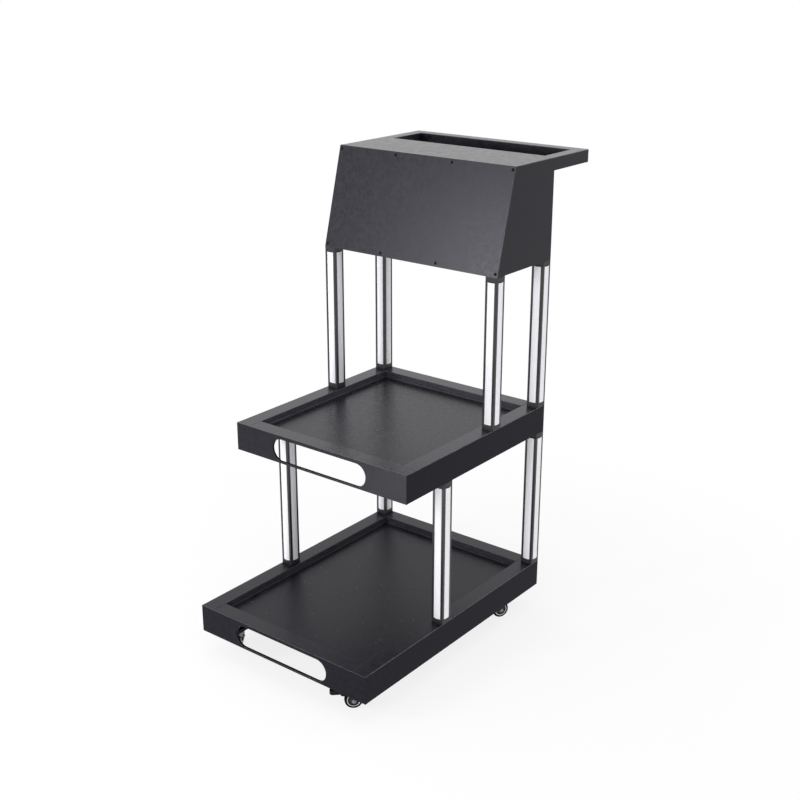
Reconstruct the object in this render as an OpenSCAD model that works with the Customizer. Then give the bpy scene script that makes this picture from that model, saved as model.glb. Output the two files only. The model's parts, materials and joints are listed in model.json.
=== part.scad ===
// Three-step serving trolley on four swivel casters.
// X runs across the trolley, Y from its front to its back and Z up.
// The origin lies on the floor under the middle of the trolley.

/* [Overall] */
// Width of the trays and of the hood
trolley_w = 480; // [440:5:560]
// Depth of the lower tray
lower_d = 656; // [600:2:760]
// Depth of the middle tray, which ends at the same back face
mid_d = 520; // [440:2:580]
// Depth of the hood at its underside, which ends at the same back face
hood_d = 212; // [180:2:260]

/* [Trays] */
// Height of the apron boards round a tray
apron_h = 65; // [62:1:90]
// Thickness of the apron boards
apron_t = 6; // [4:0.5:8]
// Width of the flat rim, with the edge of the apron
rim_w = 38; // [34:1:50]
// Thickness of the rim boards
rim_t = 12; // [8:0.5:13]
// Depth of the recess, from the rim's top to the floor board
floor_drop = 16; // [15:0.5:22]
// Thickness of the floor board
floor_t = 6; // [3:0.5:9]
// How far the bead stands out past the rim's inner edge
bead_lip = 4.5; // [2:0.5:8]
// How far the bead and the floor reach back under the rim
bead_lap = 6; // [4:0.5:10]
// How deep the bead is let into the edge of the floor board
bead_seat = 1; // [0.5:0.1:2]
// Width of the bearer strips under the floor
bearer_w = 38; // [34:1:50]
// Height of the bearer strips
bearer_h = 18; // [12:1:24]
// Gap left at the joints between boards of one frame
joint_gap = 0.2; // [0.1:0.05:0.5]

/* [Hand slots] */
// Length of the slot in a front apron
slot_w = 264; // [180:2:300]
// Height of the slot
slot_h = 52; // [30:1:52]
// Solid strip above the slot
slot_drop = 8.5; // [6:0.5:9]

/* [Posts] */
// Height of the lower posts, from the lower tray to the middle tray
lower_post_h = 337; // [240:1:400]
// Height of the upper posts, from the middle tray to the hood
upper_post_h = 344; // [240:1:400]
// From the back face to the front face of the lower front posts
lower_post_reach = 391; // [300:1:410]
// Width of the square post profile
post_w = 30; // [28:0.5:32]
// Rounding of the profile's corners
post_edge_r = 1; // [0.5:0.1:2]
// Width of the channel in each face of a post
channel_w = 17.6; // [14:0.2:18]
// Depth of that channel
channel_depth = 4.5; // [4:0.1:5]
// Height of the black end socket at each end of a post
socket_h = 12; // [8:0.5:20]

/* [Light strips] */
// How far the crown of a diffuser stands out of its post
diffuser_rise = 2.3; // [1.5:0.1:3]
// Wall thickness of a diffuser
diffuser_t = 1; // [0.8:0.1:1.4]
// Side clearance of a diffuser in its channel
diffuser_fit = 0.1; // [0.05:0.05:0.2]
// Width of the light tape
tape_w = 10; // [5:0.5:11]
// Thickness of the light tape
tape_t = 1.2; // [0.6:0.1:2]

/* [Hood] */
// Height of the hood with the handle board
hood_h = 226; // [180:1:300]
// How far the front panel leans back over its height
hood_lean = 60; // [20:1:80]
// Thickness of the front, side and back panels
panel_t = 9; // [6:0.5:9]
// Thickness of the hood's base board
base_t = 12; // [12:0.5:18]
// Length, depth and height of the power pack inside the hood
pack_l = 140; // [100:5:180]
pack_d = 70; // [50:5:80]
pack_h = 45; // [30:5:60]
// Gap between the power pack and the back panel
pack_gap = 12; // [5:1:20]

/* [Push handle] */
// How far the handle board reaches behind the hood
handle_reach = 144; // [100:2:180]
// Thickness of the handle board
handle_t = 29; // [20:1:36]
// Width of the board at either end of the hand opening
arm_w = 29; // [24:1:50]
// Width of the grip behind the hand opening
grip_w = 29; // [20:1:40]
// From the hood's back face to the front edge of the opening
opening_setback = 5; // [2:1:20]

/* [Fasteners] */
// Diameter of the post bolts
bolt_d = 6; // [5:0.5:6]
// Diameter of their heads
bolt_head_d = 11; // [9:0.5:11]
// Height of their heads
bolt_head_h = 3.5; // [2:0.5:4]
// Clearance round a head where the front panel is hollowed for it
head_fit = 0.5; // [0.3:0.1:1]
// Radial clearance of a bolt in a board and in its post
bolt_fit = 0.1; // [0.05:0.05:0.2]
// Length of bolt inside a post
bolt_bite = 14; // [10:1:24]
// Diameter of the screws in the front panel
screw_d = 3.6; // [3:0.2:4]
// Diameter of their countersunk heads
screw_head_d = 7; // [6:0.5:8]
// Depth of their countersinks
screw_sink = 2.2; // [1.5:0.1:3]
// Length of these screws
screw_len = 18; // [14:1:20]
// Distance of these screws from the panel's top and bottom edges
screw_edge = 7.5; // [7:0.5:9]
// Distance of the outer screws from the sides of the hood
screw_inset = 6.5; // [6:0.5:6.5]
// Distance of the inner screws from the middle of the hood
screw_mid_x = 77; // [40:1:120]

/* [Casters] */
// Height of a caster, from the floor to the lower tray
caster_h = 53; // [52.5:0.5:60]
// Diameter of the wheels
wheel_d = 40; // [36:0.5:40.5]
// Width of the wheels
wheel_w = 14; // [12:0.5:16]
// Radial thickness of the tyre
tyre_t = 5; // [4:0.5:6]
// Rounding of the tyre's shoulders
tyre_r = 2; // [1:0.25:2.5]
// Offset of the axle behind the swivel axis
trail = 21; // [18:0.5:22]
// Diameter of the axle
axle_d = 5; // [4:0.5:6]
// Radial running clearance of the axle, the kingpin and the pedal pin
run_fit = 0.05; // [0.02:0.01:0.1]
// Side clearance between a hub and its fork
hub_gap = 0.2; // [0.2:0.1:0.4]
// Side clearance between a tyre and its fork
tyre_gap = 0.8; // [0.6:0.1:1.2]
// Thickness of the pressed fork
fork_t = 2; // [1.5:0.1:2.2]
// Diameter of the fork's crown
crown_d = 36; // [32:1:37]
// Side of the square top plate
plate_w = 42; // [40:1:44]
// Thickness of the top plate
plate_t = 2.5; // [2:0.1:3]
// Spacing of the plate's screws
plate_pitch = 32; // [31.6:0.2:33]
// Height of the ball race under the plate
race_h = 2; // [1.8:0.1:2.4]
// Diameter of the kingpin
kingpin_d = 8; // [6:0.5:9]
// Thickness of the boards that the casters are screwed to
caster_board_t = 8; // [6:0.5:12]
// Side of the front caster boards, and depth of the rear one
caster_board_w = 70; // [69:1:80]
// Distance of the front swivel axes from the sides of the tray
caster_inset = 51.5; // [44:0.5:56]
// Distance of the front swivel axes from the front of the tray
caster_front_inset = 55; // [44:1:56]
// Distance of the rear swivel axes from the sides of the tray
caster_rear_side = 46; // [44:0.5:56]
// Distance of the rear swivel axes from the back of the tray
caster_rear_inset = 126; // [80:1:160]

/* [Brake pedals] */
// Height of the pedal's pivot above the floor
pedal_z = 44; // [43.5:0.1:44.2]
// Distance of the pivot behind the swivel axis
pedal_x = 27; // [26.5:0.5:28]
// Distance of the pedal's tip behind the swivel axis
pedal_reach = 72; // [62:1:73]
// Width of the foot plate
pedal_w = 14; // [12:1:20]
// Diameter of the pedal's pin
pedal_pin_d = 3; // [2.5:0.1:3.2]

/* [Caster directions] */
// Direction in which each caster trails, in degrees from +X
front_left_turn = 120; // [0:1:359]
front_right_turn = 225; // [0:1:359]
rear_left_turn = 75; // [0:1:359]
rear_right_turn = 61; // [0:1:359]

/* [Hidden] */

$fn = 64;
eps = 1; // extra length of a cutting body past each face

left = -1;
right = 1;

// Levels
lower_top = caster_h + apron_h;
mid_top = lower_top + lower_post_h + apron_h;
hood_z = mid_top + upper_post_h;
hood_top = hood_z + hood_h;

// Front-to-back stations
front_y = -(lower_d + handle_reach) / 2;
back_y = front_y + lower_d;
grip_y = back_y + handle_reach;
mid_front_y = back_y - mid_d;
hood_front_y = back_y - hood_d;
lower_post_y = back_y - lower_post_reach;
rear_post_y = back_y - post_w;
post_x = trolley_w / 2 - post_w / 2;

// Tray sections
floor_under = floor_drop + floor_t;
bearer_under = floor_under + bearer_h;
block_h = apron_h - bearer_under;
floor_inset = rim_w - bead_lap;
bead_w = bead_lap + bead_lip;

// Hood sections
lean_t = panel_t * sqrt(1 + pow(hood_lean / hood_h, 2));
lean_angle = atan(hood_lean / hood_h);

// Diffuser section: a shallow crown between two legs
diffuser_w = channel_w - 2 * diffuser_fit;
crown_r = (pow(diffuser_w / 2, 2) + pow(diffuser_rise, 2)) / (2 * diffuser_rise);

// Caster levels, above the floor
axle_z = wheel_d / 2;
plate_z = caster_h - plate_t;
crown_gap = 0.1;
fork_top = plate_z - race_h - crown_gap;
fork_under = fork_top - fork_t;
leg_in = wheel_w / 2 + tyre_gap;
leg_r = 6.5;
leg_front = 13;
leg_back = 19;
leg_waist = 9;
screw_pan_d = 7;
screw_pan_h = 1.8;
plate_screw_d = 4;
plate_screw_bite = caster_board_t - 2;
axle_head_d = 9;
axle_head_h = 2;
kingpin_head_d = kingpin_d + 4;
kingpin_head_h = 1.5;
race_w = 7;
rim_disc_r = wheel_d / 2 - tyre_t;
boss_r = 5;
dish_r = rim_disc_r - 3;
dish_depth = 3;

// Brake pedal
horn_r = 3.9;
barrel_r = 3.2;
lever_t = 2.5;
shoe_gap = 2.6;
shoe_w = 12;
shoe_under = axle_z + 11;
shoe_back = 6; // how far the shoe reaches behind the plate's front edge
plate_x = trail + wheel_d / 2 + 2;
plate_top = pedal_z + 2.5;
lip_h = 10.3;
lip_t = 2;

board_black = [0.16, 0.16, 0.17];
board_edge = [0.2, 0.2, 0.21];
post_black = [0.1, 0.1, 0.11];
opal = [0.94, 0.94, 0.96];
steel = [0.72, 0.72, 0.74];
rubber = [0.05, 0.05, 0.05];

// ---- shared shapes ----

// Block between two corners
module box(low, high) {
  translate(low) cube(high - low);
}

// Flat shape with fully round ends, centred
module pill(w, h) {
  square([w - h, h], center = true);
  for (s = [left, right]) translate([s * (w - h) / 2, 0]) circle(d = h);
}

// Copies its children into a shape drawn in the Y-Z plane, with thickness along X
module across(w) {
  translate([-w / 2, 0, 0]) rotate([90, 0, 90]) linear_extrude(w) children();
}

// Places its children at the post centres of one storey: the front row and the rear row
module at_posts(front_row_y) {
  for (s = [left, right]) {
    for (y = [front_row_y, rear_post_y]) translate([s * post_x, y + post_w / 2, 0]) children();
  }
}

// Bores for the post bolts, through everything between two levels
module bolt_bores(front_row_y, z0, z1) {
  at_posts(front_row_y) translate([0, 0, z0 - eps]) cylinder(d = bolt_d + 2 * bolt_fit, h = z1 - z0 + 2 * eps);
}

// ---- trays: each is drawn from its front edge and the top of its rim ----

module front_apron(y0, top) {
  color(board_black) difference() {
    box([-trolley_w / 2, y0, top - apron_h], [trolley_w / 2, y0 + apron_t, top]);
    translate([0, y0 + apron_t + eps, top - slot_drop - slot_h / 2]) rotate([90, 0, 0])
      linear_extrude(apron_t + 2 * eps) pill(slot_w, slot_h);
  }
}

module rear_apron(top) {
  color(board_black) box([-trolley_w / 2, back_y - apron_t, top - apron_h], [trolley_w / 2, back_y, top]);
}

module side_apron(side, y0, top) {
  outer = trolley_w / 2;
  color(board_black) translate([side * (outer - apron_t / 2), 0, 0])
    box([-apron_t / 2, y0 + apron_t, top - apron_h], [apron_t / 2, back_y - apron_t, top]);
}

// Frame of four strips: the side strips run from front to back, the others lie between them
module strip_frame(y0, y1, outer_x, w, z0, z1) {
  for (s = [left, right]) translate([s * (outer_x - w / 2), 0, 0]) box([-w / 2, y0, z0], [w / 2, y1, z1]);
  inner_x = outer_x - w - joint_gap;
  box([-inner_x, y0, z0], [inner_x, y0 + w, z1]);
  box([-inner_x, y1 - w, z0], [inner_x, y1, z1]);
}

module rim(y0, top, front_row_y) {
  color(board_edge) difference() {
    strip_frame(y0 + apron_t, back_y - apron_t, trolley_w / 2 - apron_t, rim_w - apron_t, top - rim_t, top);
    bolt_bores(front_row_y, top - rim_t, top);
  }
}

module bead(y0, top) {
  color(board_black) strip_frame(
    y0 + floor_inset, back_y - floor_inset, trolley_w / 2 - floor_inset, bead_w,
    top - floor_drop - bead_seat, top - rim_t
  );
}

// Board whose edge is rebated all round for the bead
module floor_board(y0, top) {
  z0 = top - floor_under;
  color(board_black) for (edge = [[floor_inset, bead_seat], [floor_inset + bead_w, 0]]) {
    x = trolley_w / 2 - edge[0];
    box([-x, y0 + edge[0], z0], [x, back_y - edge[0], top - floor_drop - edge[1]]);
  }
}

// Two side strips, one along the back and one across the middle
module bearers(y0, top) {
  outer_x = trolley_w / 2 - apron_t;
  inner_x = outer_x - bearer_w - joint_gap;
  z0 = top - bearer_under;
  z1 = top - floor_under;
  middle_y = (y0 + back_y) / 2;
  for (s = [left, right]) translate([s * (outer_x - bearer_w / 2), 0, 0])
    box([-bearer_w / 2, y0 + apron_t, z0], [bearer_w / 2, back_y - apron_t, z1]);
  box([-inner_x, back_y - apron_t - bearer_w, z0], [inner_x, back_y - apron_t, z1]);
  box([-inner_x, middle_y - bearer_w / 2, z0], [inner_x, middle_y + bearer_w / 2, z1]);
}

module lower_bearers() {
  color(board_black) bearers(front_y, lower_top);
}

module mid_bearers() {
  color(board_black) difference() {
    bearers(mid_front_y, mid_top);
    bolt_bores(lower_post_y, mid_top - bearer_under, mid_top - floor_under);
  }
}

// Blocks between the bearers and the heads of the lower posts
module post_blocks() {
  z0 = mid_top - apron_h;
  inner_back = back_y - apron_t;
  color(board_black) difference() {
    for (s = [left, right]) {
      for (y = [lower_post_y + post_w / 2 - bearer_w / 2, inner_back - bearer_w])
        translate([s * (trolley_w / 2 - apron_t - bearer_w / 2), y, z0])
          translate([-bearer_w / 2, 0, 0]) cube([bearer_w, bearer_w, block_h]);
    }
    bolt_bores(lower_post_y, z0, z0 + block_h);
  }
}

// Front corner boards and the rear cross board that carry the casters
module caster_boards() {
  outer_x = trolley_w / 2 - apron_t;
  z1 = caster_h + caster_board_t;
  rear_axis_y = back_y - caster_rear_inset;
  color(board_black) difference() {
    union() {
      for (s = [left, right]) translate([s * (outer_x - caster_board_w / 2), front_y + apron_t, caster_h])
        translate([-caster_board_w / 2, 0, 0]) cube([caster_board_w, caster_board_w, caster_board_t]);
      box([-outer_x, rear_axis_y - caster_board_w / 2, caster_h], [outer_x, rear_axis_y + caster_board_w / 2, z1]);
    }
    at_casters() plate_screw_places() translate([0, 0, caster_h - eps])
      cylinder(d = plate_screw_d + 2 * bolt_fit, h = caster_board_t + 2 * eps);
  }
}

// ---- posts ----

module post_outline() {
  flat = post_w - 2 * post_edge_r;
  square([flat, post_w], center = true);
  square([post_w, flat], center = true);
  for (a = [45:90:315]) rotate(a) translate([flat / 2 * sqrt(2), 0]) circle(post_edge_r);
}

// Profile with a channel in each face and a bore for the bolts
module post(side, y, base_z, h) {
  color(post_black) translate([side * post_x, y + post_w / 2, base_z + socket_h])
    linear_extrude(h - 2 * socket_h) difference() {
      post_outline();
      for (a = [0:90:270]) rotate(a)
        translate([post_w / 2 - channel_depth, -channel_w / 2]) square([channel_depth + eps, channel_w]);
      circle(d = bolt_d + 2 * bolt_fit);
    }
}

module sockets(front_row_y, base_z, h) {
  color(post_black) at_posts(front_row_y) for (z = [base_z, base_z + h - socket_h])
    translate([0, 0, z]) linear_extrude(socket_h) difference() {
      post_outline();
      circle(d = bolt_d + 2 * bolt_fit);
    }
}

// Section of a diffuser: the crown faces +X and the legs stand on the channel's floor
module diffuser_section() {
  crown_x = post_w / 2 + diffuser_rise - crown_r;
  difference() {
    union() {
      intersection() {
        translate([crown_x, 0]) circle(crown_r, $fn = 96);
        translate([post_w / 2, -diffuser_w / 2]) square([diffuser_rise + eps, diffuser_w]);
      }
      translate([post_w / 2 - channel_depth, -diffuser_w / 2]) square([channel_depth, diffuser_w]);
    }
    intersection() {
      translate([crown_x, 0]) circle(crown_r - diffuser_t, $fn = 96);
      translate([post_w / 2 - channel_depth - eps, diffuser_t - diffuser_w / 2])
        square([channel_depth + diffuser_rise + 2 * eps, diffuser_w - 2 * diffuser_t]);
    }
  }
}

module diffusers(front_row_y, base_z, h) {
  color(opal) at_posts(front_row_y) for (a = [0:90:270])
    translate([0, 0, base_z + socket_h]) rotate(a) linear_extrude(h - 2 * socket_h) diffuser_section();
}

module tapes(front_row_y, base_z, h) {
  at_posts(front_row_y) for (a = [0:90:270])
    translate([0, 0, base_z + socket_h]) rotate(a) linear_extrude(h - 2 * socket_h)
      translate([post_w / 2 - channel_depth, -tape_w / 2]) square([tape_t, tape_w]);
}

module light_tapes() {
  color("ivory") {
    tapes(lower_post_y, lower_top, lower_post_h);
    tapes(hood_front_y, mid_top, upper_post_h);
  }
}

// Bolt whose head lies on top of a board at z and whose shank runs down through it
module bolt_down(z, grip) {
  shank = grip + socket_h + bolt_bite;
  translate([0, 0, z]) cylinder(d = bolt_head_d, h = bolt_head_h);
  translate([0, 0, z - shank]) cylinder(d = bolt_d, h = shank + bolt_head_h / 2);
}

module bolt_up(z, grip) {
  mirror([0, 0, 1]) bolt_down(-z, grip);
}

module post_bolts() {
  color(steel) {
    at_posts(lower_post_y) bolt_up(lower_top - rim_t, rim_t);
    at_posts(lower_post_y) bolt_down(mid_top - floor_under, bearer_h + block_h);
    at_posts(hood_front_y) bolt_up(mid_top - rim_t, rim_t);
    at_posts(hood_front_y) bolt_down(hood_z + base_t, base_t);
  }
}

// ---- hood ----

// Y of the front panel's inner face at height h above the hood's underside
function inner_front_y(h) = hood_front_y + lean_t + hood_lean * h / hood_h;

module hood_front_panel() {
  color(board_black) difference() {
    translate([0, 0, hood_z]) across(trolley_w) polygon([
      [hood_front_y, 0],
      [hood_front_y + hood_lean, hood_h],
      [hood_front_y + hood_lean + lean_t, hood_h],
      [hood_front_y + lean_t, 0]
    ]);
    at_posts(hood_front_y) translate([0, 0, hood_z + base_t])
      cylinder(d = bolt_head_d + 2 * head_fit, h = bolt_head_h + head_fit);
    at_hood_screws() screw_shape(bolt_fit, eps);
  }
}

// Side panel between the front panel, the back face and the handle board
module hood_cheek(side) {
  h = hood_h - handle_t;
  color(board_black) difference() {
    translate([side * (trolley_w - panel_t) / 2, 0, hood_z]) across(panel_t) polygon([
      [inner_front_y(0), 0],
      [back_y, 0],
      [back_y, h],
      [inner_front_y(h), h]
    ]);
    at_hood_screws() screw_shape(bolt_fit, eps);
  }
}

module hood_back_panel() {
  x = trolley_w / 2 - panel_t;
  color(board_black) box([-x, back_y - panel_t, hood_z], [x, back_y, hood_top - handle_t]);
}

module hood_base() {
  color(board_black) difference() {
    translate([0, 0, hood_z]) across(trolley_w - 2 * panel_t) polygon([
      [inner_front_y(0), 0],
      [back_y - panel_t, 0],
      [back_y - panel_t, base_t],
      [inner_front_y(base_t), base_t]
    ]);
    bolt_bores(hood_front_y, hood_z, hood_z + base_t);
    at_hood_screws() screw_shape(bolt_fit, eps);
  }
}

// Top board, which runs back past the hood as the push handle
module handle_board() {
  h = hood_h - handle_t;
  opening_x = trolley_w / 2 - arm_w;
  color(board_edge) difference() {
    translate([0, 0, hood_z]) across(trolley_w) polygon([
      [inner_front_y(h), h],
      [grip_y, h],
      [grip_y, hood_h],
      [inner_front_y(hood_h), hood_h]
    ]);
    box(
      [-opening_x, back_y + opening_setback, hood_top - handle_t - eps],
      [opening_x, grip_y - grip_w, hood_top + eps]
    );
    at_hood_screws() screw_shape(bolt_fit, eps);
  }
}

// Places of the front panel's screws: on its outer face, with +Z pointing into the panel
module at_hood_screws() {
  outer = trolley_w / 2 - screw_inset;
  for (x = [-outer, -screw_mid_x, screw_mid_x, outer]) {
    for (h = [screw_edge, hood_h - screw_edge])
      translate([x, hood_front_y + hood_lean * h / hood_h, hood_z + h]) rotate([-90 - lean_angle, 0, 0]) children();
  }
}

// Countersunk screw, or the hole for it when play is its radial clearance
module screw_shape(play, past) {
  translate([0, 0, -past]) cylinder(d = screw_head_d + 2 * play, h = past);
  cylinder(d1 = screw_head_d + 2 * play, d2 = screw_d + 2 * play, h = screw_sink);
  cylinder(d = screw_d + 2 * play, h = screw_len + play);
}

module hood_screws() {
  color(steel) at_hood_screws() translate([0, 0, bolt_fit]) screw_shape(0, 0);
}

// Power pack of the light strips, standing on the base board
module power_pack() {
  y1 = back_y - panel_t - pack_gap;
  z0 = hood_z + base_t;
  color("dimgray") box([-pack_l / 2, y1 - pack_d, z0], [pack_l / 2, y1, z0 + pack_h]);
}

// ---- casters ----

// Moves a caster drawn about its swivel axis, with the wheel behind it on +X, to its place
module place_caster(side, inset, axis_y, turn) {
  translate([side * (trolley_w / 2 - inset), axis_y, 0]) rotate(turn) children();
}

module front_left_place() {
  place_caster(left, caster_inset, front_y + caster_front_inset, front_left_turn) children();
}

module front_right_place() {
  place_caster(right, caster_inset, front_y + caster_front_inset, front_right_turn) children();
}

module rear_left_place() {
  place_caster(left, caster_rear_side, back_y - caster_rear_inset, rear_left_turn) children();
}

module rear_right_place() {
  place_caster(right, caster_rear_side, back_y - caster_rear_inset, rear_right_turn) children();
}

// Places its children at the four swivel axes, square to the trolley
module at_casters() {
  for (s = [left, right]) {
    translate([s * (trolley_w / 2 - caster_inset), front_y + caster_front_inset, 0]) children();
    translate([s * (trolley_w / 2 - caster_rear_side), back_y - caster_rear_inset, 0]) children();
  }
}

module plate_screw_places() {
  for (x = [left, right]) {
    for (y = [left, right]) translate([x * plate_pitch / 2, y * plate_pitch / 2, 0]) children();
  }
}

// Top plate with the fixed half of the ball race and the riveted kingpin
module caster_plates() {
  head_top = fork_under - crown_gap;
  color(steel) at_casters() {
    difference() {
      translate([-plate_w / 2, -plate_w / 2, plate_z]) cube([plate_w, plate_w, plate_t]);
      plate_screw_places() translate([0, 0, plate_z - eps])
        cylinder(d = plate_screw_d + 2 * bolt_fit, h = plate_t + 2 * eps);
    }
    difference() {
      translate([0, 0, plate_z - race_h]) cylinder(d = kingpin_d + 6 + 2 * race_w, h = race_h);
      translate([0, 0, plate_z - race_h - eps]) cylinder(d = kingpin_d + 6, h = race_h + eps);
    }
    translate([0, 0, head_top - kingpin_head_h / 2]) cylinder(d = kingpin_d, h = plate_z - head_top + kingpin_head_h / 2);
    translate([0, 0, head_top - kingpin_head_h]) cylinder(d = kingpin_head_d, h = kingpin_head_h);
  }
}

module caster_screws() {
  color(steel) at_casters() plate_screw_places() {
    translate([0, 0, plate_z - screw_pan_h]) cylinder(d = screw_pan_d, h = screw_pan_h);
    translate([0, 0, plate_z - screw_pan_h / 2])
      cylinder(d = plate_screw_d, h = plate_t + plate_screw_bite + screw_pan_h / 2);
  }
}

// Outline of a fork leg in the X-Z plane
module leg_outline(braked) {
  difference() {
    union() {
      polygon([
        [-leg_front, fork_top],
        [leg_back, fork_top],
        [trail + leg_r, axle_z],
        [trail - leg_r, axle_z],
        [-leg_front, fork_top - leg_waist]
      ]);
      translate([trail, axle_z]) circle(leg_r);
      if (braked) {
        polygon([
          [leg_front, fork_top],
          [pedal_x, pedal_z + horn_r],
          [pedal_x + horn_r, pedal_z],
          [trail + leg_r / 2, axle_z]
        ]);
        translate([pedal_x, pedal_z]) circle(horn_r);
      }
    }
    translate([trail, axle_z]) circle(d = axle_d + 2 * run_fit);
  }
}

module fork(braked) {
  color(steel) {
    difference() {
      translate([0, 0, fork_under]) cylinder(d = crown_d, h = fork_t);
      translate([0, 0, fork_under - eps]) cylinder(d = kingpin_d + 2 * run_fit, h = fork_t + 2 * eps);
    }
    for (y = [-leg_in - fork_t, leg_in]) translate([0, y + fork_t, 0]) rotate([90, 0, 0])
      linear_extrude(fork_t) leg_outline(braked);
    if (braked) translate([pedal_x, leg_in + fork_t / 2, pedal_z]) rotate([90, 0, 0])
      cylinder(d = pedal_pin_d, h = 2 * leg_in + fork_t);
  }
}

// Axle bolt with a head outside one leg and a nut outside the other
module axle() {
  outer = leg_in + fork_t;
  color(steel) translate([trail, 0, axle_z]) rotate([90, 0, 0]) {
    translate([0, 0, -outer - axle_head_h / 2]) cylinder(d = axle_d, h = 2 * outer + axle_head_h);
    for (z = [-outer - axle_head_h, outer]) translate([0, 0, z]) cylinder(d = axle_head_d, h = axle_head_h);
  }
}

// Dished wheel core
module hub() {
  half = wheel_w / 2;
  boss_half = leg_in - hub_gap;
  color(post_black) translate([trail, 0, axle_z]) rotate([90, 0, 0]) rotate_extrude() polygon([
    [axle_d / 2 + run_fit, -boss_half],
    [boss_r, -boss_half],
    [boss_r, dish_depth - half],
    [dish_r, dish_depth - half],
    [dish_r, -half],
    [rim_disc_r, -half],
    [rim_disc_r, half],
    [dish_r, half],
    [dish_r, half - dish_depth],
    [boss_r, half - dish_depth],
    [boss_r, boss_half],
    [axle_d / 2 + run_fit, boss_half]
  ]);
}

module tyre() {
  half = wheel_w / 2;
  flat = half - tyre_r;
  color(rubber) translate([trail, 0, axle_z]) rotate([90, 0, 0]) rotate_extrude($fn = 96) {
    translate([rim_disc_r, -half]) square([tyre_t - tyre_r, wheel_w]);
    translate([rim_disc_r, -flat]) square([tyre_t, 2 * flat]);
    for (z = [-flat, flat]) translate([wheel_d / 2 - tyre_r, z]) circle(tyre_r);
  }
}

// Outline of the foot plate seen from above, with a round tip, drawn in by inset all round
module plate_outline(inset) {
  tip_x = pedal_reach - pedal_w / 2;
  translate([plate_x + inset, inset - pedal_w / 2]) square([tip_x - plate_x - inset, pedal_w - 2 * inset]);
  translate([tip_x, 0]) circle(d = pedal_w - 2 * inset);
}

// Pedal: a barrel on the pin, a lever, a foot plate with a lip and a shoe hollowed round the tyre
module pedal() {
  half_barrel = leg_in - hub_gap;
  color(post_black) difference() {
    union() {
      translate([pedal_x, half_barrel, pedal_z]) rotate([90, 0, 0]) cylinder(r = barrel_r, h = 2 * half_barrel);
      pedal_slab(-half_barrel, half_barrel, [
        [pedal_x, plate_top],
        [plate_x + lip_t / 2, plate_top],
        [plate_x + lip_t / 2, plate_top - lever_t],
        [pedal_x, plate_top - lever_t]
      ]);
      translate([0, 0, plate_top - lip_h]) difference() {
        linear_extrude(lip_h) plate_outline(0);
        translate([0, 0, -eps]) linear_extrude(lip_h - lever_t + eps) plate_outline(lip_t);
      }
      difference() {
        pedal_slab(-shoe_w / 2, shoe_w / 2, [
          [pedal_x, plate_top - lever_t / 2],
          [plate_x + shoe_back, plate_top - lever_t / 2],
          [plate_x + shoe_back, shoe_under + shoe_back / 2],
          [plate_x + shoe_back / 2, shoe_under],
          [pedal_x, shoe_under]
        ]);
        translate([trail, shoe_w / 2 + eps, axle_z]) rotate([90, 0, 0])
          cylinder(r = wheel_d / 2 + shoe_gap, h = shoe_w + 2 * eps);
      }
    }
    translate([pedal_x, half_barrel + eps, pedal_z]) rotate([90, 0, 0])
      cylinder(d = pedal_pin_d + 2 * run_fit, h = 2 * half_barrel + 2 * eps);
  }
}

// Shape drawn in the X-Z plane, with thickness along Y
module pedal_slab(y0, y1, points) {
  translate([0, y1, 0]) rotate([90, 0, 0]) linear_extrude(y1 - y0) polygon(points);
}

// ---- nodes ----

front_apron(front_y, lower_top);  // lower_front_apron
rear_apron(lower_top);  // lower_rear_apron
side_apron(left, front_y, lower_top);  // lower_left_apron
side_apron(right, front_y, lower_top);  // lower_right_apron
rim(front_y, lower_top, lower_post_y);  // lower_rim
bead(front_y, lower_top);  // lower_bead
floor_board(front_y, lower_top);  // lower_floor
lower_bearers();
caster_boards();
front_apron(mid_front_y, mid_top);  // mid_front_apron
rear_apron(mid_top);  // mid_rear_apron
side_apron(left, mid_front_y, mid_top);  // mid_left_apron
side_apron(right, mid_front_y, mid_top);  // mid_right_apron
rim(mid_front_y, mid_top, hood_front_y);  // mid_rim
bead(mid_front_y, mid_top);  // mid_bead
floor_board(mid_front_y, mid_top);  // mid_floor
mid_bearers();
post_blocks();
post(left, lower_post_y, lower_top, lower_post_h);  // post_lower_front_left
post(right, lower_post_y, lower_top, lower_post_h);  // post_lower_front_right
post(left, rear_post_y, lower_top, lower_post_h);  // post_lower_rear_left
post(right, rear_post_y, lower_top, lower_post_h);  // post_lower_rear_right
post(left, hood_front_y, mid_top, upper_post_h);  // post_upper_front_left
post(right, hood_front_y, mid_top, upper_post_h);  // post_upper_front_right
post(left, rear_post_y, mid_top, upper_post_h);  // post_upper_rear_left
post(right, rear_post_y, mid_top, upper_post_h);  // post_upper_rear_right
sockets(lower_post_y, lower_top, lower_post_h);  // lower_sockets
sockets(hood_front_y, mid_top, upper_post_h);  // upper_sockets
diffusers(lower_post_y, lower_top, lower_post_h);  // lower_diffusers
diffusers(hood_front_y, mid_top, upper_post_h);  // upper_diffusers
light_tapes();
post_bolts();
hood_front_panel();
hood_cheek(left);  // hood_left_cheek
hood_cheek(right);  // hood_right_cheek
hood_back_panel();
hood_base();
handle_board();
hood_screws();
power_pack();
caster_plates();
caster_screws();
front_left_place() fork(true);  // fork_front_left
front_right_place() fork(true);  // fork_front_right
rear_left_place() fork(false);  // fork_rear_left
rear_right_place() fork(false);  // fork_rear_right
front_left_place() axle();  // axle_front_left
front_right_place() axle();  // axle_front_right
rear_left_place() axle();  // axle_rear_left
rear_right_place() axle();  // axle_rear_right
front_left_place() hub();  // hub_front_left
front_right_place() hub();  // hub_front_right
rear_left_place() hub();  // hub_rear_left
rear_right_place() hub();  // hub_rear_right
front_left_place() tyre();  // tyre_front_left
front_right_place() tyre();  // tyre_front_right
rear_left_place() tyre();  // tyre_rear_left
rear_right_place() tyre();  // tyre_rear_right
front_left_place() pedal();  // pedal_left
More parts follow.
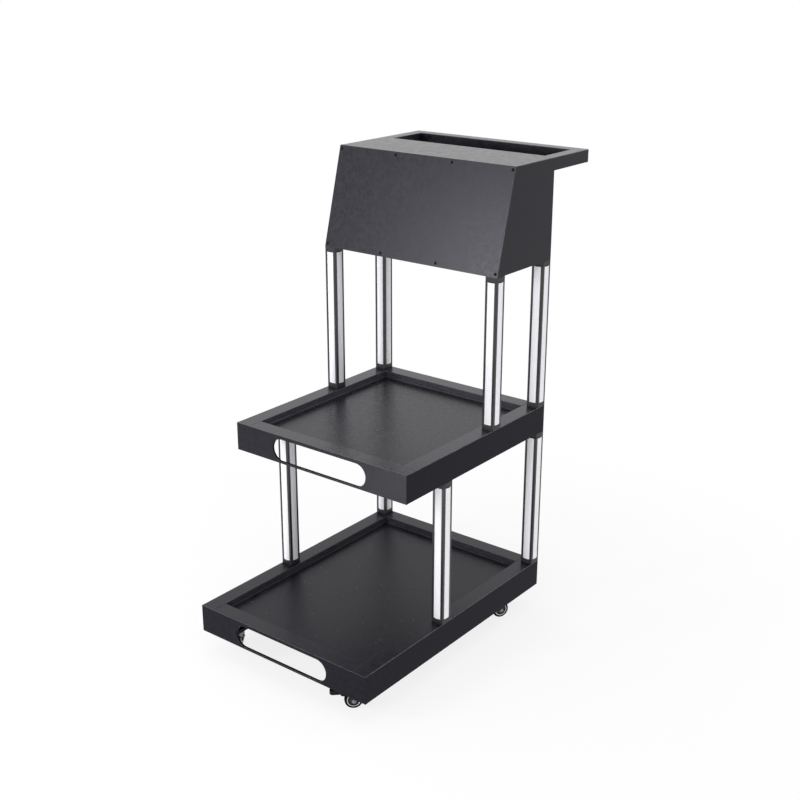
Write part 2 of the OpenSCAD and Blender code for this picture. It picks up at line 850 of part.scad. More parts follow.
front_right_place() pedal();  // pedal_right
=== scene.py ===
"""Looks of the dessert trolley: black lacquered boards, light-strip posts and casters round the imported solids."""

import json
import math

import bmesh
import bpy
from mathutils import Matrix, Vector
from mathutils.bvhtree import BVHTree


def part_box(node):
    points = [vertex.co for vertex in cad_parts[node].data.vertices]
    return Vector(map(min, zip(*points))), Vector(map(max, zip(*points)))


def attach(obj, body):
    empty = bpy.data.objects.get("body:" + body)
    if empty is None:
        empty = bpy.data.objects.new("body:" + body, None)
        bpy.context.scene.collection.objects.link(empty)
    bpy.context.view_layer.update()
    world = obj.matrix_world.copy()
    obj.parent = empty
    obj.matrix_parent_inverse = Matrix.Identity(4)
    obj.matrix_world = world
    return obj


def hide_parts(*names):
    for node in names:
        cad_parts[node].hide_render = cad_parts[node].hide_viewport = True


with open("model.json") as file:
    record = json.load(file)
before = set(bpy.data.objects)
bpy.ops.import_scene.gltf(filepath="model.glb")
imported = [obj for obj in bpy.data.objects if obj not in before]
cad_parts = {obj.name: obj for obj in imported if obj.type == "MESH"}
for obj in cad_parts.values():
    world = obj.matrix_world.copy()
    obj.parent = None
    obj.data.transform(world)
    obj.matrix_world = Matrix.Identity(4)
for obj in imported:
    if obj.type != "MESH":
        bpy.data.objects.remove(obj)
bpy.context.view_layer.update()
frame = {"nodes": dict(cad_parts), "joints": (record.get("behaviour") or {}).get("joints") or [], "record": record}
nodes = frame["nodes"]
joints = {joint["name"]: joint for joint in frame["joints"]}
scene = bpy.context.scene
scene.view_settings.view_transform = "Standard"

MM = 0.001


# ---- camera, light and surroundings ----

SENSOR_WIDTH = 36.0
LENS_LENGTH = 55.96
FARTHEST_SEEN = 100.0
CAMERA_PLACE = (1.64609, -2.07222, 1.52491)
CAMERA_LOOKS = (-0.5803, 0.7375, -0.3453)

# Each softbox's place, the point that it faces, its width, height and watts
SOFTBOXES = {
    "front_softbox": ((-0.8, -1.85, 1.2), (0.1, 0.0, 0.95), 0.5, 0.7, 18.0),
    "top_softbox": ((-0.3, 0.0, 3.2), (0.0, 0.0, 0.0), 2.4, 2.4, 24.0),
    "low_softbox": ((-0.36, -1.1, 0.03), (0.24, -0.23, 0.48), 0.3, 0.2, 1.8),
}

# The room lights the trolley a little more from its right side.
BRIGHT_SIDE = (0.8, -0.35, 0.3)
ROOM_SPREAD = {"in__From_Min": -0.8, "in__From_Max": 0.9, "in__To_Min": 0.62, "in__To_Max": 0.92}
ROOM_TINT = (0.985, 0.985, 1.0, 1.0)
WHITE = (1.0, 1.0, 1.0, 1.0)

FLOOR_REACH = 30.0
FLOOR_PAINT = {"Base Color": (0.9, 0.9, 0.905, 1.0), "Roughness": 0.9, "Specular IOR Level": 0.1}
# How white the floor is made at 0.5 m from its middle, and that it is wholly white from 1.4 m on
FLOOR_FADE = {"in__From_Min": 0.5, "in__From_Max": 1.4, "in__To_Min": 0.82}


def photo_camera():
    """Camera at the photograph's place, in metres from the middle of the trolley's footprint."""
    data = bpy.data.cameras.new("photo_view")
    data.sensor_width = SENSOR_WIDTH
    data.lens = LENS_LENGTH
    data.clip_end = FARTHEST_SEEN
    camera = bpy.data.objects.new("photo_view", data)
    scene.collection.objects.link(camera)
    camera.location = CAMERA_PLACE
    camera.rotation_euler = Vector(CAMERA_LOOKS).to_track_quat("-Z", "Y").to_euler()
    scene.camera = camera


def softbox(name, place, target, width, height, watts):
    """Rectangular lamp that faces a point."""
    data = bpy.data.lights.new(name, "AREA")
    data.shape = "RECTANGLE"
    data.size = width
    data.size_y = height
    data.energy = watts
    lamp = bpy.data.objects.new(name, data)
    scene.collection.objects.link(lamp)
    lamp.location = place
    lamp.rotation_euler = (Vector(target) - Vector(place)).to_track_quat("-Z", "Y").to_euler()


def add(tree, kind, **settings):
    """A new node. A setting that starts with in__ is an input, such as in__Scale, and any other a property."""
    node = tree.nodes.new(kind)
    for name, value in settings.items():
        if name.startswith("in__"):
            node.inputs[name[4:].replace("_", " ")].default_value = value
        else:
            setattr(node, name, value)
    return node


def seen_directly(tree):
    """1 for the camera's own rays, and for what glossy and clear surfaces show."""
    path = add(tree, "ShaderNodeLightPath")
    seen = path.outputs["Is Camera Ray"]
    for kind in ("Is Glossy Ray", "Is Transmission Ray"):
        either = add(tree, "ShaderNodeMath", operation="MAXIMUM")
        tree.links.new(seen, either.inputs[0])
        tree.links.new(path.outputs[kind], either.inputs[1])
        seen = either.outputs[0]
    return seen


def studio():
    """White background for what is seen, a softer room light for the surfaces, and the softboxes."""
    world = bpy.data.worlds.new("studio")
    scene.world = world
    world.use_nodes = True
    tree = world.node_tree
    light = tree.nodes["Background"]
    place = add(tree, "ShaderNodeTexCoord")
    toward = add(tree, "ShaderNodeVectorMath", operation="DOT_PRODUCT")
    toward.inputs[1].default_value = Vector(BRIGHT_SIDE).normalized()
    spread = add(tree, "ShaderNodeMapRange", **ROOM_SPREAD)
    tree.links.new(place.outputs["Generated"], toward.inputs[0])
    tree.links.new(toward.outputs["Value"], spread.inputs["Value"])
    tree.links.new(spread.outputs["Result"], light.inputs["Strength"])
    light.inputs["Color"].default_value = ROOM_TINT
    white = add(tree, "ShaderNodeBackground", in__Strength=1.0, in__Color=WHITE)
    pick = add(tree, "ShaderNodeMixShader")
    tree.links.new(seen_directly(tree), pick.inputs["Fac"])
    tree.links.new(light.outputs[0], pick.inputs[1])
    tree.links.new(white.outputs[0], pick.inputs[2])
    tree.links.new(pick.outputs[0], tree.nodes["World Output"].inputs["Surface"])
    for name, settings in SOFTBOXES.items():
        softbox(name, *settings)


def floor_material():
    """Pale paint that keeps a light shadow, and runs out into the white background away from the trolley."""
    material = bpy.data.materials.new("pale_floor")
    material.use_nodes = True
    tree = material.node_tree
    paint = tree.nodes["Principled BSDF"]
    for socket, value in FLOOR_PAINT.items():
        paint.inputs[socket].default_value = value
    place = add(tree, "ShaderNodeTexCoord")
    away = add(tree, "ShaderNodeVectorMath", operation="LENGTH")
    reach = add(tree, "ShaderNodeMapRange", interpolation_type="SMOOTHSTEP", **FLOOR_FADE)
    shown = add(tree, "ShaderNodeMath", operation="MULTIPLY")
    white = add(tree, "ShaderNodeEmission", in__Strength=1.0)
    pick = add(tree, "ShaderNodeMixShader")
    tree.links.new(place.outputs["Object"], away.inputs[0])
    tree.links.new(away.outputs["Value"], reach.inputs["Value"])
    tree.links.new(reach.outputs["Result"], shown.inputs[0])
    tree.links.new(seen_directly(tree), shown.inputs[1])
    tree.links.new(shown.outputs[0], pick.inputs["Fac"])
    tree.links.new(paint.outputs[0], pick.inputs[1])
    tree.links.new(white.outputs[0], pick.inputs[2])
    tree.links.new(pick.outputs[0], tree.nodes["Material Output"].inputs["Surface"])
    return material


def pale_floor():
    """The studio's floor, which isn't part of the trolley."""
    shape = bmesh.new()
    bmesh.ops.create_grid(shape, x_segments=1, y_segments=1, size=FLOOR_REACH)
    mesh = bpy.data.meshes.new("floor")
    shape.to_mesh(mesh)
    shape.free()
    mesh.materials.append(floor_material())
    floor = bpy.data.objects.new("floor", mesh)
    scene.collection.objects.link(floor)


# ---- finishes ----

# The part of a noise pattern's range over which a shade or a gloss runs from one limit to the other
PATTERN_LOW = 0.3
PATTERN_HIGH = 0.7
NOISE_ROUGHNESS = 0.6
# Radii between which a speck fades out, as shares of its cell
SPECK_FADE = {"in__From_Min": 0.12, "in__From_Max": 0.24, "in__To_Min": 1.0, "in__To_Max": 0.0}


def noise(tree, scale, stretch, detail=3.0):
    """Noise on object coordinates, with scale in cells a metre."""
    place = add(tree, "ShaderNodeTexCoord")
    mapping = add(tree, "ShaderNodeMapping", in__Scale=stretch)
    cells = add(tree, "ShaderNodeTexNoise", in__Scale=scale, in__Detail=detail, in__Roughness=NOISE_ROUGHNESS)
    tree.links.new(place.outputs["Object"], mapping.inputs["Vector"])
    tree.links.new(mapping.outputs["Vector"], cells.inputs["Vector"])
    return cells.outputs["Fac"]


def between(tree, value, low, high):
    """A number that follows a pattern between two limits."""
    span = add(
        tree, "ShaderNodeMapRange", in__From_Min=PATTERN_LOW, in__From_Max=PATTERN_HIGH, in__To_Min=low,
        in__To_Max=high,
    )
    tree.links.new(value, span.inputs["Value"])
    return span.outputs["Result"]


def shades(tree, value, dark, light):
    """A colour that follows a pattern between two shades."""
    ramp = add(tree, "ShaderNodeValToRGB")
    for stop, position, shade in zip(ramp.color_ramp.elements, (PATTERN_LOW, PATTERN_HIGH), (dark, light)):
        stop.position = position
        stop.color = (*shade, 1.0)
    tree.links.new(value, ramp.inputs["Fac"])
    return ramp.outputs["Color"]


def relief(tree, shader, height, strength, depth):
    """Fine bumps on the shader's surface, with depth in metres."""
    bump = add(tree, "ShaderNodeBump", in__Strength=strength, in__Distance=depth)
    tree.links.new(height, bump.inputs["Height"])
    tree.links.new(bump.outputs["Normal"], shader.inputs["Normal"])


def specks(tree, colour, cells, below, speck_colour):
    """Scatters small light specks over a colour, in the cells whose random number lies below a limit."""
    place = add(tree, "ShaderNodeTexCoord")
    dots = add(tree, "ShaderNodeTexVoronoi", in__Scale=cells)
    tree.links.new(place.outputs["Object"], dots.inputs["Vector"])
    small = add(tree, "ShaderNodeMapRange", **SPECK_FADE)
    tree.links.new(dots.outputs["Distance"], small.inputs["Value"])
    chosen = add(tree, "ShaderNodeMath", operation="LESS_THAN")
    tree.links.new(dots.outputs["Color"], chosen.inputs[0])
    chosen.inputs[1].default_value = below
    there = add(tree, "ShaderNodeMath", operation="MULTIPLY")
    tree.links.new(small.outputs["Result"], there.inputs[0])
    tree.links.new(chosen.outputs[0], there.inputs[1])
    blend = add(tree, "ShaderNodeMix", data_type="RGBA")
    tree.links.new(there.outputs[0], blend.inputs["Factor"])
    tree.links.new(colour, blend.inputs["A"])
    blend.inputs["B"].default_value = (*speck_colour, 1.0)
    return blend.outputs["Result"]


def finish(name, dark, light, roughness, mottle, grain, grain_strength, grain_depth=0.0003, dust=None, **sockets):
    """A finish whose shade and gloss drift over the surface and whose relief is a fine grain.

    mottle and grain are (cells a metre, stretch), dust is (cells a metre, limit, colour) as in specks, and
    sockets are constants for the shader's own sockets.
    """
    material = bpy.data.materials.new(name)
    material.use_nodes = True
    tree = material.node_tree
    shader = tree.nodes["Principled BSDF"]
    drift = noise(tree, *mottle)
    fine = noise(tree, *grain)
    colour = shades(tree, drift, dark, light)
    if dust:
        colour = specks(tree, colour, *dust)
    tree.links.new(colour, shader.inputs["Base Color"])
    tree.links.new(between(tree, drift, *roughness), shader.inputs["Roughness"])
    relief(tree, shader, fine, grain_strength, grain_depth)
    for socket, value in sockets.items():
        shader.inputs[socket.replace("_", " ")].default_value = value
    return material


EVEN = (1.0, 1.0, 1.0)
ALONG_Z = (1.0, 1.0, 0.04)

# The boards' black is a little violet, in its body and in its shine.
COOL_SHINE = (0.94, 0.915, 1.0, 1.0)
LESS_GREEN = 0.96
MORE_BLUE = 0.003
BLUE_OF_DARK = 1.15
BLUE_OF_LIGHT = 1.12
BOARD_MOTTLE = (95.0, EVEN, 6.0)
ORANGE_PEEL = (420.0, EVEN)
ORANGE_PEEL_DEPTH = 0.0005
DUST = (0.11, 0.105, 0.115)


def black_board(name, roughness, ior, grain_strength, dark=0.0025, light=0.0125, dust=None):
    """Black finish of the boards, with a fine orange peel, in which shade and gloss drift."""
    return finish(
        name, (dark, dark * LESS_GREEN, dark * BLUE_OF_DARK + MORE_BLUE),
        (light, light * LESS_GREEN, light * BLUE_OF_LIGHT + MORE_BLUE), roughness, BOARD_MOTTLE, ORANGE_PEEL,
        grain_strength, ORANGE_PEEL_DEPTH, dust, IOR=ior, Specular_Tint=COOL_SHINE,
    )


lacquer = black_board("black_lacquer", (0.22, 0.32), 1.5, 0.16)
tray_lacquer = black_board("black_tray_lacquer", (0.28, 0.38), 1.365, 0.2)
hood_paint = black_board("black_hood_paint", (0.31, 0.39), 1.39, 0.35)
satin_paint = black_board("black_satin_paint", (0.42, 0.54), 1.305, 0.35)
apron_paint = black_board("middle_apron_paint", (0.28, 0.36), 1.295, 0.35)
matt_paint = black_board("black_matt_paint", (0.52, 0.66), 1.215, 0.35)
floor_lacquer = black_board("black_floor_lacquer", (0.30, 0.42), 1.325, 0.3, 0.001, 0.013, (130.0, 0.15, DUST))
mid_floor_lacquer = black_board("middle_floor_lacquer", (0.24, 0.35), 1.385, 0.2, 0.002, 0.011, (130.0, 0.08, DUST))
# Lighter blacks for the faces inside the tray recesses, the middle tray's lighter than the lower's: painted light
# in the recesses, and a painted highlight on the beads' tops. The specks are dust.
lower_recess = black_board("lower_recess_painted_light", (0.45, 0.6), 1.4, 0.35, 0.02, 0.042, (300.0, 0.16, DUST))
mid_recess = black_board("middle_recess_painted_light", (0.4, 0.55), 1.4, 0.35, 0.035, 0.06, (300.0, 0.1, DUST))
# A much lighter black for the upper faces of the rounded top edges: a painted highlight along them.
arris_painted_highlight = black_board("arris_painted_highlight", (0.24, 0.4), 1.5, 0.3, 0.02, 0.12)
anodised = finish(
    "black_anodised", (0.010, 0.010, 0.011), (0.017, 0.017, 0.019), (0.26, 0.36), (60.0, ALONG_Z), (900.0, ALONG_Z),
    grain_strength=0.2, IOR=1.5,
)
moulded = finish(
    "black_moulded", (0.010, 0.010, 0.011), (0.014, 0.014, 0.015), (0.42, 0.52), (90.0, EVEN), (1400.0, EVEN),
    grain_strength=0.2, IOR=1.46,
)
opal = finish(
    "opal_cover", (0.90, 0.895, 0.925), (0.93, 0.925, 0.955), (0.26, 0.34), (14.0, ALONG_Z), (500.0, ALONG_Z),
    grain_strength=0.06, IOR=1.49,
)
zinc = finish(
    "zinc_plating", (0.50, 0.50, 0.52), (0.66, 0.66, 0.67), (0.28, 0.4), (120.0, EVEN), (1500.0, EVEN),
    grain_strength=0.1, Metallic=1.0,
)
bolt_steel = finish(
    "dull_bolt_steel", (0.17, 0.17, 0.175), (0.30, 0.30, 0.305), (0.36, 0.5), (400.0, EVEN), (1500.0, EVEN),
    grain_strength=0.15, Metallic=1.0,
)
ring_plating = finish(
    "ring_plating", (0.52, 0.52, 0.53), (0.68, 0.68, 0.69), (0.16, 0.28), (220.0, EVEN), (1500.0, EVEN),
    grain_strength=0.08, Metallic=1.0,
)
fork_paint = finish(
    "fork_paint", (0.012, 0.012, 0.012), (0.02, 0.02, 0.02), (0.3, 0.42), (140.0, EVEN), (1200.0, EVEN),
    grain_strength=0.15, IOR=1.5,
)
screw_oxide = finish(
    "screw_oxide", (0.004, 0.004, 0.0043), (0.010, 0.010, 0.0105), (0.45, 0.6), (400.0, EVEN), (2500.0, EVEN),
    grain_strength=0.2, IOR=1.17,
)
rubber = finish(
    "tyre_rubber", (0.002, 0.002, 0.002), (0.006, 0.006, 0.006), (0.75, 0.9), (220.0, EVEN), (1800.0, EVEN),
    grain_strength=0.3, IOR=1.14,
)
pedal_black = finish(
    "pedal_black", (0.003, 0.003, 0.003), (0.008, 0.008, 0.008), (0.45, 0.6), (160.0, EVEN), (1500.0, EVEN),
    grain_strength=0.25, IOR=1.25,
)
tape_coating = finish(
    "tape_coating", (0.80, 0.78, 0.70), (0.86, 0.84, 0.78), (0.4, 0.5), (200.0, EVEN), (1200.0, EVEN),
    grain_strength=0.1,
)

FINISHES = {
    "board_black": lacquer,
    "post_aluminium": anodised,
    "opal_diffuser": opal,
    "post_socket": moulded,
    "light_tape": tape_coating,
    "zinc_steel": zinc,
    "screw_black": screw_oxide,
    "pack_plastic": moulded,
    "caster_steel": zinc,
    "fork_black": fork_paint,
    "wheel_core": moulded,
    "caster_tyre": rubber,
    "pedal_plastic": pedal_black,
}

slots = {part["node"]: part["material_slot"] for part in frame["record"]["subparts"]}
for name, node in nodes.items():
    node.data.materials.clear()
    node.data.materials.append(FINISHES[slots[name]])


# ---- making pieces ----

MERGED_WITHIN = 0.005 * MM
FLAT_WITHIN = math.radians(1.0)
# The facets of a round face meet at an angle between these.
LEAST_FACET_BEND = math.radians(1.5)
MOST_FACET_BEND = math.radians(14.0)
# Least part of a normal along a direction, for a face that faces it
FACING = 0.7


def make(name, shape, body, slot, materials=(), stands_for=()):
    """Turns a finished bmesh into a piece that rides on a body."""
    mesh = bpy.data.meshes.new(name)
    shape.to_mesh(mesh)
    shape.free()
    for material in materials or (FINISHES[slot],):
        mesh.materials.append(material)
    piece = bpy.data.objects.new(name, mesh)
    scene.collection.objects.link(piece)
    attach(piece, body)
    if stands_for:
        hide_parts(*stands_for)


def whole(node):
    """A node's solid as a bmesh, with its triangles joined and its flat faces made whole."""
    shape = bmesh.new()
    shape.from_mesh(nodes[node].data)
    bmesh.ops.remove_doubles(shape, verts=shape.verts, dist=MERGED_WITHIN)
    bmesh.ops.dissolve_limit(
        shape, angle_limit=FLAT_WITHIN, verts=shape.verts, edges=shape.edges, use_dissolve_boundaries=False
    )
    return shape


def soften(shape, edges, width, segments=3):
    """Rounds edges, shades the rounding and the facets of round faces smooth, and gives the rounding's faces."""
    for face in shape.faces:
        bends = [abs(edge.calc_face_angle(0.0)) for edge in face.edges if edge.is_manifold]
        face.smooth = len(face.verts) <= 4 and any(LEAST_FACET_BEND < bend < MOST_FACET_BEND for bend in bends)
    made = bmesh.ops.bevel(
        shape, geom=edges, offset=width, offset_type="OFFSET", segments=segments, profile=0.5, affect="EDGES",
        clamp_overlap=True, material=-1,
    )
    for face in made["faces"]:
        face.smooth = True
    return made["faces"]


def convex_edges(shape, sharper_than):
    """The outer edges at which two faces turn by more than some degrees."""
    least = math.radians(sharper_than)
    return [e for e in shape.edges if e.is_manifold and e.is_convex and e.calc_face_angle(0.0) > least]


trees = {}
for name, node in nodes.items():
    probe = bmesh.new()
    probe.from_mesh(node.data)
    trees[name] = BVHTree.FromBMesh(probe)
    probe.free()

CORNER_ANGLE = 25.0
# Places along an edge that are tried, how far in from the edge, and how near another solid covers the face
TRIED_AT = (0.3, 0.5, 0.7)
TRIED_INSIDE = 1.5 * MM
COVERED_WITHIN = 0.25 * MM


def bare_edges(shape, own):
    """The convex edges whose two faces are both open to the air, so not the edges inside a flush joint."""
    found = []
    others = [tree for name, tree in trees.items() if name != own]
    for edge in convex_edges(shape, CORNER_ANGLE):
        start, end = (corner.co for corner in edge.verts)
        along = (end - start).normalized()
        covered = 0
        for share in TRIED_AT:
            for loop in edge.link_loops:
                inward = loop.face.normal.cross(along)
                if inward.dot(loop.face.calc_center_median() - start) < 0:
                    inward.negate()
                point = start.lerp(end, share) + inward * TRIED_INSIDE
                if any(tree.find_nearest(point, COVERED_WITHIN)[0] is not None for tree in others):
                    covered += 1
                    break
        if covered <= len(TRIED_AT) // 2:
            found.append(edge)
    return found


# ---- boards ----

# Each board's rounding in millimetres
BOARD_ARRIS = {
    "lower_front_apron": 1.0, "lower_rear_apron": 1.0, "lower_left_apron": 1.0, "lower_right_apron": 1.0,
    "mid_front_apron": 1.0, "mid_rear_apron": 1.0, "mid_left_apron": 1.0, "mid_right_apron": 1.0,
    "lower_rim": 0.8, "mid_rim": 0.8, "lower_bead": 0.6, "mid_bead": 0.6, "lower_floor": 0.4, "mid_floor": 0.4,
    "lower_bearers": 1.0, "mid_bearers": 1.0, "caster_boards": 1.0, "post_blocks": 0.8,
    "hood_front_panel": 1.0, "hood_left_cheek": 1.0, "hood_right_cheek": 1.0, "hood_back_panel": 0.8,
    "hood_base": 0.8, "handle_board": 1.2,
}

# Finishes of the faces that point up or down, along the trolley and across it, and of the arrises on top, whose
# much lighter black is a painted highlight along the top edges
BOARD_FINISHES = {
    "lower": (tray_lacquer, matt_paint, matt_paint, arris_painted_highlight),
    # The rims', beads' and floors' recess faces take the painted light of the recess finishes.
    "lower_rim": (tray_lacquer, lower_recess, lower_recess, lower_recess),
    "lower_bead": (lower_recess, lower_recess, lower_recess, lower_recess),
    "lower_floor": (floor_lacquer, lower_recess, lower_recess, lower_recess),
    "mid": (lacquer, apron_paint, matt_paint, arris_painted_highlight),
    "mid_rim": (lacquer, mid_recess, mid_recess, mid_recess),
    "mid_bead": (mid_recess, mid_recess, mid_recess, mid_recess),
    "mid_floor": (mid_floor_lacquer, mid_recess, mid_recess, mid_recess),
    "hood": (lacquer, hood_paint, satin_paint, arris_painted_highlight),
}
LEVEL, ENDWAYS, SIDEWAYS, TOP_ARRIS = range(4)
# How far up the faces of an arris on top point, to get the painted highlight
TOP_ARRIS_LOW = 0.15
TOP_ARRIS_HIGH = 0.98


def boards():
    """Every board with its edges rounded and a finish for each direction that its faces point in."""
    hood_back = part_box("hood_back_panel")[1].y
    for name, arris in BOARD_ARRIS.items():
        shape = whole(name)
        if name == "handle_board":
            # The part over the hood and the part behind it are softened apart.
            everything = shape.verts[:] + shape.edges[:] + shape.faces[:]
            bmesh.ops.bisect_plane(shape, geom=everything, plane_co=(0.0, hood_back, 0.0), plane_no=(0.0, 1.0, 0.0))
        rounding = soften(shape, bare_edges(shape, name), arris * MM)
        for face in shape.faces:
            x, y, z = (abs(part) for part in face.normal)
            face.material_index = LEVEL if z > FACING else ENDWAYS if y > x else SIDEWAYS
        # The upward faces of the rounding get the painted highlight along the top edges.
        for face in rounding:
            if TOP_ARRIS_LOW < face.normal.z < TOP_ARRIS_HIGH:
                face.material_index = TOP_ARRIS
        storey = "hood" if name == "handle_board" else name.split("_")[0]
        finishes = BOARD_FINISHES.get(name) or BOARD_FINISHES.get(storey) or BOARD_FINISHES["lower"]
        make(name + "_lacquered", shape, "frame", "board_black", finishes, stands_for=(name,))


# ---- casters, drawn in millimetres about the swivel axis, with the wheel on +X ----

PLACES = ("front_left", "front_right", "rear_left", "rear_right")
TRAIL = 21.0
AXLE_Z = 20.0

# Half profiles of (distance from the axle, distance along it from the wheel's middle)
TYRE_HALF = [
    (20.0, 0.5), (20.0, 1.6), (20.0, 2.4), (19.93, 3.8), (19.6, 5.1), (19.0, 6.1), (18.2, 6.75), (17.2, 6.95),
    (15.6, 6.9), (15.2, 6.6), (15.1, 5.7), (15.0, 5.6),
]
CORE_HALF = [
    (15.0, 5.6), (12.9, 5.6), (12.6, 5.9), (12.2, 5.9), (11.9, 5.5), (11.7, 4.4), (11.2, 3.9), (7.4, 3.4),
    (6.2, 3.7), (5.4, 4.6), (5.1, 6.6), (4.7, 7.3), (4.3, 7.6), (2.6, 7.6),
]
RING_PROFILE = [(15.05, 5.7), (15.0, 6.2), (14.75, 6.6), (14.0, 6.8), (13.3, 6.6), (13.05, 6.2), (13.0, 5.7)]

# Axle bolt, from the outer faces of the fork's legs, which lie at LEG to either side of the wheel's middle
LEG = 9.8
BOLT_HEAD = [(0.0, -LEG - 2.6), (1.6, -LEG - 2.5), (2.9, -LEG - 2.1), (3.9, -LEG - 1.2), (4.4, -LEG), (2.5, -LEG)]
BOLT_END = [(2.5, LEG + 4.2), (2.0, LEG + 4.7), (0.0, LEG + 4.7)]
WASHER_T = 0.4
WASHER = [(2.55, LEG), (4.6, LEG), (4.7, LEG + 0.15), (4.6, LEG + WASHER_T), (2.55, LEG + WASHER_T)]
THREAD_RIDGE = [(2.4, -0.2), (2.72, 0.0), (2.4, 0.2)]
THREAD_PITCH = 0.45
THREAD_TURNS = 9
NUT_ACROSS = 8.0
NUT_H = 3.0
NUT_ARRIS = 0.35

WHEEL_STEPS = 96
CORE_STEPS = 72
BOLT_STEPS = 40
SETTLED_WITHIN = 0.002

PRESSED_ANGLE = 40.0
FORK_ROUNDING = 0.45 * MM
PEDAL_ROUNDING = 0.5 * MM


def caster_matrix(place):
    """From a drawn caster to its place on the trolley."""
    swivel = Vector(joints["swivel_" + place]["pos_m"])
    axle = Vector(joints["roll_" + place]["pos_m"])
    turn = math.atan2(axle.y - swivel.y, axle.x - swivel.x)
    return Matrix.Translation((swivel.x, swivel.y, 0.0)) @ Matrix.Rotation(turn, 4, "Z") @ Matrix.Scale(MM, 4)


def settle(shape, place):
    """Merges doubles, turns the faces outwards and moves a caster piece to its place."""
    bmesh.ops.remove_doubles(shape, verts=shape.verts, dist=SETTLED_WITHIN)
    bmesh.ops.recalc_face_normals(shape, faces=shape.faces)
    shape.transform(caster_matrix(place))


def turned(shape, profile, steps):
    """Spins a closed profile round the wheel's axle, and shades the shape smooth."""
    ring = [shape.verts.new((TRAIL + radius, along, AXLE_Z)) for radius, along in profile]
    edges = [shape.edges.new((a, b)) for a, b in zip(ring, ring[1:] + ring[:1])]
    bmesh.ops.spin(
        shape, geom=ring + edges, cent=(TRAIL, 0.0, AXLE_Z), axis=(0.0, 1.0, 0.0), angle=math.tau, steps=steps,
        use_merge=True, use_duplicate=False,
    )
    for face in shape.faces:
        face.smooth = True


def mirrored(half):
    """A whole profile from its half at positive distances along the axle, which runs from the outside in."""
    return half + [(radius, -along) for radius, along in reversed(half)]


def tyre(place):
    """Rubber tyre with rounded shoulders."""
    shape = bmesh.new()
    turned(shape, mirrored(TYRE_HALF), WHEEL_STEPS)
    settle(shape, place)
    make("tread_" + place, shape, "wheel_" + place, "caster_tyre", stands_for=("tyre_" + place,))


def core(place):
    """Moulded wheel core with a rim, a dished web and a boss."""
    shape = bmesh.new()
    turned(shape, mirrored(CORE_HALF), CORE_STEPS)
    settle(shape, place)
    make("core_" + place, shape, "wheel_" + place, "wheel_core", stands_for=("hub_" + place,))


def trim_rings(place):
    """Bright ring on either side of the wheel, between the core and the tyre."""
    shape = bmesh.new()
    for side in (1.0, -1.0):
        turned(shape, [(radius, side * along) for radius, along in RING_PROFILE], WHEEL_STEPS)
    settle(shape, place)
    make("ring_" + place, shape, "wheel_" + place, "caster_steel", materials=(ring_plating,))


def hexagon(shape, across, low, high, arris):
    """Hexagon nut on the axle, between two distances along it."""
    turn = Matrix.Translation((TRAIL, (low + high) / 2, AXLE_Z)) @ Matrix.Rotation(math.radians(90), 4, "X")
    radius = across / math.sqrt(3)
    made = bmesh.ops.create_cone(
        shape, cap_ends=True, cap_tris=False, segments=6, radius1=radius, radius2=radius, depth=high - low,
        matrix=turn,
    )
    corners = set(made["verts"])
    edges = [e for e in shape.edges if set(e.verts) <= corners]
    bmesh.ops.bevel(
        shape, geom=edges, offset=arris, offset_type="OFFSET", segments=2, profile=0.5, affect="EDGES",
        clamp_overlap=True, material=-1,
    )


def axle_bolt(place):
    """Bolt with a domed head outside one leg, and a nut with the thread's end outside the other."""
    shape = bmesh.new()
    turned(shape, BOLT_HEAD + BOLT_END, BOLT_STEPS)
    for turn in range(THREAD_TURNS):
        middle = LEG + WASHER_T + THREAD_PITCH * turn
        turned(shape, [(radius, middle + along) for radius, along in THREAD_RIDGE], BOLT_STEPS)
    hexagon(shape, NUT_ACROSS, LEG + WASHER_T, LEG + WASHER_T + NUT_H, NUT_ARRIS)
    turned(shape, WASHER, BOLT_STEPS)
    settle(shape, place)
    make(
        "axle_bolt_" + place, shape, "swivel_" + place, "caster_steel", materials=(bolt_steel,),
        stands_for=("axle_" + place,),
    )


def forks_and_pedals():
    """The pressed forks and the pedals with their edges rounded."""
    for place in PLACES:
        shape = whole("fork_" + place)
        soften(shape, convex_edges(shape, PRESSED_ANGLE), FORK_ROUNDING)
        make(
            "pressed_fork_" + place, shape, "swivel_" + place, slots["fork_" + place], materials=(fork_paint,),
            stands_for=("fork_" + place,),
        )
    for side in ("left", "right"):
        shape = whole("pedal_" + side)
        soften(shape, convex_edges(shape, PRESSED_ANGLE), PEDAL_ROUNDING)
        make("foot_pedal_" + side, shape, "brake_" + side, "pedal_plastic", stands_for=("pedal_" + side,))


# ---- small fittings ----

SOCKET_ROUNDING = 0.4 * MM

# Hood screw, in millimetres
HEAD_R = 3.5
HEAD_FACE_R = 3.25
HEAD_STEPS = 36
HEAD_EDGE_DEPTH = 0.12
NECK_DEPTH = 2.08
SHANK_R = 1.8
SHANK_LENGTH = 14.3
TIP_SHARE = 0.3
TIP_LENGTH = 1.4
CROSS_REACH = 2.0
CROSS_HALF_WIDTH = 0.5
CROSS_DEPTH = 1.5
CROSS_FLOOR_SHARE = 0.55


def sockets():
    """The posts' end sockets with their edges rounded."""
    for storey in ("lower", "upper"):
        name = storey + "_sockets"
        shape = whole(name)
        soften(shape, bare_edges(shape, name), SOCKET_ROUNDING, segments=2)
        make("moulded_" + name, shape, "frame", "post_socket", stands_for=(name,))


def cross_outline(shape, reach, half_width):
    """Closed outline of a cross recess."""
    corners = []
    for quarter in range(4):
        turn = Matrix.Rotation(quarter * math.pi / 2, 3, "Z")
        for x, y in ((half_width, reach), (-half_width, reach), (-half_width, half_width)):
            corners.append(shape.verts.new(turn @ Vector((x, y, 0.0))))
    return [shape.edges.new((a, b)) for a, b in zip(corners, corners[1:] + corners[:1])]


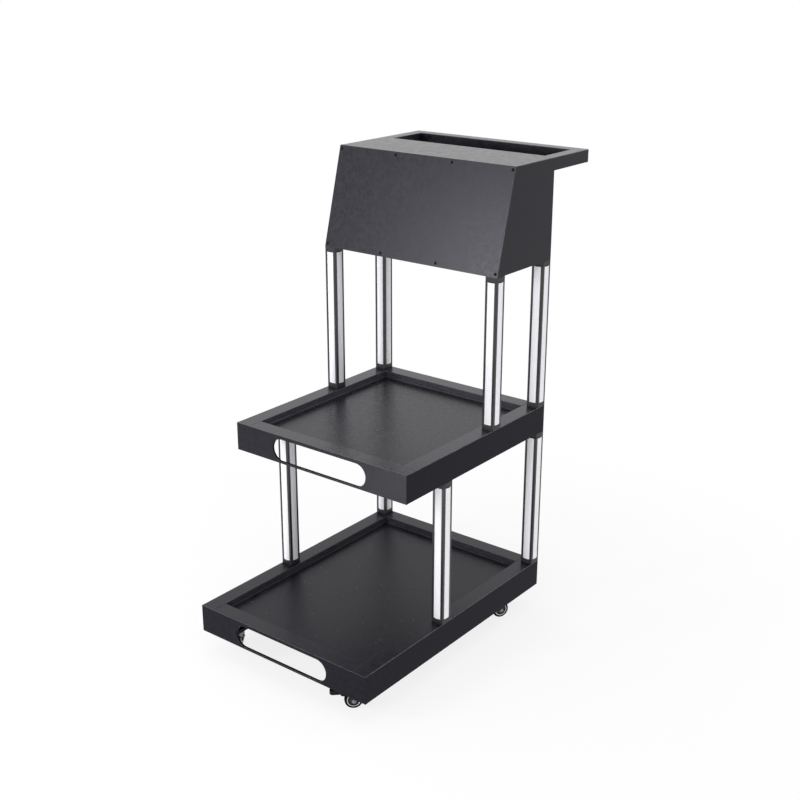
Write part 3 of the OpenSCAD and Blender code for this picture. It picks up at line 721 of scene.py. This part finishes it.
def drawn_down(shape, edges, factor, depth):
    """Extrudes a closed outline downwards, drawing it in by a factor, and gives its lower edges."""
    made = bmesh.ops.extrude_edge_only(shape, edges=edges)["geom"]
    corners = [part for part in made if isinstance(part, bmesh.types.BMVert)]
    bmesh.ops.scale(shape, vec=(factor, factor, 1.0), verts=corners)
    bmesh.ops.translate(shape, vec=(0.0, 0.0, -depth), verts=corners)
    return [part for part in made if isinstance(part, bmesh.types.BMEdge)]


def cross_screw():
    """Countersunk screw in millimetres, with its head's top at the origin and its shank down -Z."""
    shape = bmesh.new()
    bmesh.ops.create_circle(shape, cap_ends=False, segments=HEAD_STEPS, radius=HEAD_FACE_R)
    brim = shape.edges[:]
    recess = cross_outline(shape, CROSS_REACH, CROSS_HALF_WIDTH)
    bmesh.ops.triangle_fill(shape, use_beauty=True, edges=brim + recess)
    floor = drawn_down(shape, recess, CROSS_FLOOR_SHARE, CROSS_DEPTH)
    bmesh.ops.contextual_create(shape, geom=floor)
    rounded = drawn_down(shape, brim, HEAD_R / HEAD_FACE_R, HEAD_EDGE_DEPTH)
    neck = drawn_down(shape, rounded, SHANK_R / HEAD_R, NECK_DEPTH)
    shank = drawn_down(shape, neck, 1.0, SHANK_LENGTH)
    tip = drawn_down(shape, shank, TIP_SHARE, TIP_LENGTH)
    bmesh.ops.contextual_create(shape, geom=tip)
    bmesh.ops.recalc_face_normals(shape, faces=shape.faces)
    return shape


def shells(shape):
    """The separate closed shells of a mesh, as lists of faces."""
    seen = set()
    for first in shape.faces:
        if first in seen:
            continue
        seen.add(first)
        reached = [first]
        for face in reached:
            for edge in face.edges:
                for other in edge.link_faces:
                    if other not in seen:
                        seen.add(other)
                        reached.append(other)
        yield reached


def hood_screws():
    """Puts a cross-recessed screw in the place and direction of each plain one."""
    plain = whole("hood_screws")
    shape = bmesh.new()
    for shell in shells(plain):
        head = max(shell, key=lambda face: face.calc_area() if face.normal.y < -FACING else 0.0)
        turn = head.normal.to_track_quat("Z", "X").to_matrix().to_4x4()
        screw = cross_screw()
        screw.transform(Matrix.Translation(head.calc_center_median()) @ turn @ Matrix.Scale(MM, 4))
        mesh = bpy.data.meshes.new("screw")
        screw.to_mesh(mesh)
        screw.free()
        shape.from_mesh(mesh)
        bpy.data.meshes.remove(mesh)
    plain.free()
    make("cross_screws", shape, "frame", "screw_black", stands_for=("hood_screws",))


photo_camera()
studio()
pale_floor()
boards()
sockets()
hood_screws()
for place in PLACES:
    tyre(place)
    core(place)
    trim_rings(place)
    axle_bolt(place)
forks_and_pedals()
